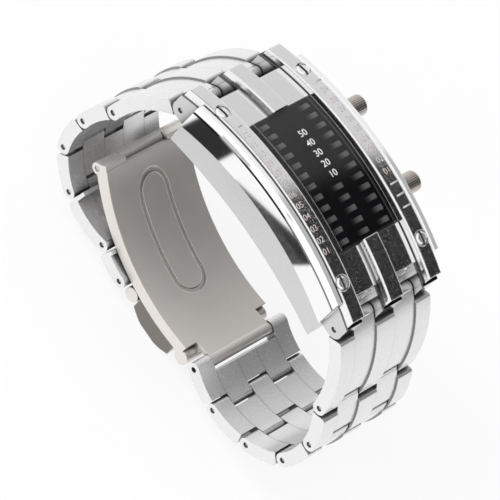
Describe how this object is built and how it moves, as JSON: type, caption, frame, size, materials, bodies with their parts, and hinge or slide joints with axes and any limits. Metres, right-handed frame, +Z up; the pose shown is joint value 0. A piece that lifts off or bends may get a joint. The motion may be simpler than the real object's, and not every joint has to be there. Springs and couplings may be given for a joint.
{
  "type": "wristwatch",
  "caption": "Wrist watch with a curved lens over light bars between two raised rails, side pushers and a five-row metal bracelet with folding clasp.",
  "frame": {"origin": "middle of the flat underside of the clasp bridge, directly below the centre of the display", "axes": "+X across the wrist towards the pushers, +Y towards 12 o'clock, +Z up through the display"},
  "size_m": [0.0342, 0.083, 0.0638],
  "materials": {
    "case_steel": "polished and satin stainless steel",
    "polished_steel": "polished",
    "screw_steel": "polished",
    "lens_glass": "gloss, nearly black",
    "seal_rubber": "matt",
    "mask_black": "matt black",
    "light_bar_grey": "smoky, unlit",
    "board_green": "lacquered laminate",
    "switch_black": "moulded",
    "frame_white": "moulded",
    "cell_steel": "plain",
    "contact_brass": "plain",
    "back_steel": "brushed",
    "pin_steel": "plain",
    "pusher_nickel": "satin nickel",
    "spring_steel": "drawn wire",
    "link_steel": "satin",
    "clasp_steel": "brushed",
    "bridge_steel": "brushed"
  },
  "bodies": {
    "case": {"case_body": "case_steel", "left_rail": "polished_steel", "right_rail": "polished_steel", "end_piece_12": "polished_steel", "end_piece_6": "polished_steel", "rail_screws": "screw_steel", "display_lens": "lens_glass", "lens_gasket": "seal_rubber", "mask_plate": "mask_black", "light_bars": "light_bar_grey", "display_board": "board_green", "push_switches": "switch_black", "module_frame": "frame_white", "coin_cells": "cell_steel", "battery_strap": "contact_brass", "caseback": "back_steel", "caseback_gasket": "seal_rubber", "caseback_screws": "screw_steel", "lug_pins": "pin_steel", "pusher_o_rings": "seal_rubber", "upper_pusher_spring": "spring_steel", "lower_pusher_spring": "spring_steel"},
    "link_12_1": {"link_12_1": "link_steel", "pin_12_1": "pin_steel"},
    "link_6_1": {"link_6_1": "link_steel", "pin_6_1": "pin_steel"},
    "link_12_2": {"link_12_2": "link_steel", "pin_12_2": "pin_steel"},
    "link_6_2": {"link_6_2": "link_steel", "pin_6_2": "pin_steel"},
    "link_12_3": {"link_12_3": "link_steel", "pin_12_3": "pin_steel"},
    "link_6_3": {"link_6_3": "link_steel", "pin_6_3": "pin_steel"},
    "link_12_4": {"link_12_4": "link_steel", "pin_12_4": "pin_steel"},
    "link_6_4": {"link_6_4": "link_steel", "pin_6_4": "pin_steel"},
    "link_12_5": {"link_12_5": "link_steel", "pin_12_5": "pin_steel"},
    "link_6_5": {"link_6_5": "link_steel", "pin_6_5": "pin_steel"},
    "link_12_6": {"link_12_6": "link_steel", "pin_12_6": "pin_steel"},
    "link_6_6": {"link_6_6": "link_steel"},
    "upper_pusher": {"upper_pusher": "pusher_nickel", "upper_pusher_clip": "spring_steel"},
    "lower_pusher": {"lower_pusher": "pusher_nickel", "lower_pusher_clip": "spring_steel"},
    "middle_blade": {"middle_blade": "clasp_steel", "blade_pin": "pin_steel"},
    "inner_blade": {"inner_blade": "clasp_steel", "catch_bridge": "bridge_steel", "end_spring_bar": "pin_steel"}
  },
  "joints": [
    {"name": "upper_pusher_slide", "type": "slide", "parent": "case", "child": "upper_pusher", "axis": [-1, 0, 0], "range_m": [0, 0.0008], "stiffness_N_per_m": 400, "springref_m": -0.001, "deforming": ["upper_pusher_spring"]},
    {"name": "lower_pusher_slide", "type": "slide", "parent": "case", "child": "lower_pusher", "axis": [-1, 0, 0], "range_m": [0, 0.0008], "stiffness_N_per_m": 400, "springref_m": -0.001, "deforming": ["lower_pusher_spring"]},
    {"name": "link_12_1_hinge", "type": "hinge", "parent": "case", "child": "link_12_1", "pos_m": [0, 0.0264, 0.05201], "axis": [1, 0, 0], "range_deg": [0, 50]},
    {"name": "link_12_2_hinge", "type": "hinge", "parent": "link_12_1", "child": "link_12_2", "pos_m": [0, 0.03607, 0.03405], "axis": [1, 0, 0], "range_deg": [0, 8.8]},
    {"name": "link_12_3_hinge", "type": "hinge", "parent": "link_12_2", "child": "link_12_3", "pos_m": [0, 0.03944, 0.02453], "axis": [1, 0, 0], "range_deg": [0, 23.5]},
    {"name": "link_12_4_hinge", "type": "hinge", "parent": "link_12_3", "child": "link_12_4", "pos_m": [0, 0.03874, 0.01446], "axis": [1, 0, 0], "range_deg": [0, 42.2]},
    {"name": "link_12_5_hinge", "type": "hinge", "parent": "link_12_4", "child": "link_12_5", "pos_m": [0, 0.03145, 0.00747], "axis": [1, 0, 0], "range_deg": [0, 39.2]},
    {"name": "link_12_6_hinge", "type": "hinge", "parent": "link_12_5", "child": "link_12_6", "pos_m": [0, 0.01879, 0.00645], "axis": [1, 0, 0], "range_deg": [0, 4]},
    {"name": "link_6_1_hinge", "type": "hinge", "parent": "case", "child": "link_6_1", "pos_m": [0, -0.0264, 0.05201], "axis": [-1, 0, 0], "range_deg": [0, 50]},
    {"name": "link_6_2_hinge", "type": "hinge", "parent": "link_6_1", "child": "link_6_2", "pos_m": [0, -0.03601, 0.03402], "axis": [-1, 0, 0], "range_deg": [0, 4.6]},
    {"name": "link_6_3_hinge", "type": "hinge", "parent": "link_6_2", "child": "link_6_3", "pos_m": [0, -0.04004, 0.02476], "axis": [-1, 0, 0], "range_deg": [0, 30.5]},
    {"name": "link_6_4_hinge", "type": "hinge", "parent": "link_6_3", "child": "link_6_4", "pos_m": [0, -0.03881, 0.01473], "axis": [-1, 0, 0], "range_deg": [0, 39.2]},
    {"name": "link_6_5_hinge", "type": "hinge", "parent": "link_6_4", "child": "link_6_5", "pos_m": [0, -0.03152, 0.00774], "axis": [-1, 0, 0], "range_deg": [0, 29.4]},
    {"name": "link_6_6_hinge", "type": "hinge", "parent": "link_6_5", "child": "link_6_6", "pos_m": [0, -0.02173, 0.00523], "axis": [-1, 0, 0], "range_deg": [0, 31.1]},
    {"name": "middle_blade_hinge", "type": "hinge", "parent": "link_12_6", "child": "middle_blade", "pos_m": [0, 0.0109, 0.0042], "axis": [1, 0, 0], "range_deg": [0, 100]},
    {"name": "inner_blade_hinge", "type": "hinge", "parent": "middle_blade", "child": "inner_blade", "pos_m": [0, 0.0308, 0.0179], "axis": [1, 0, 0], "range_deg": [-45, 0]}
  ]
}
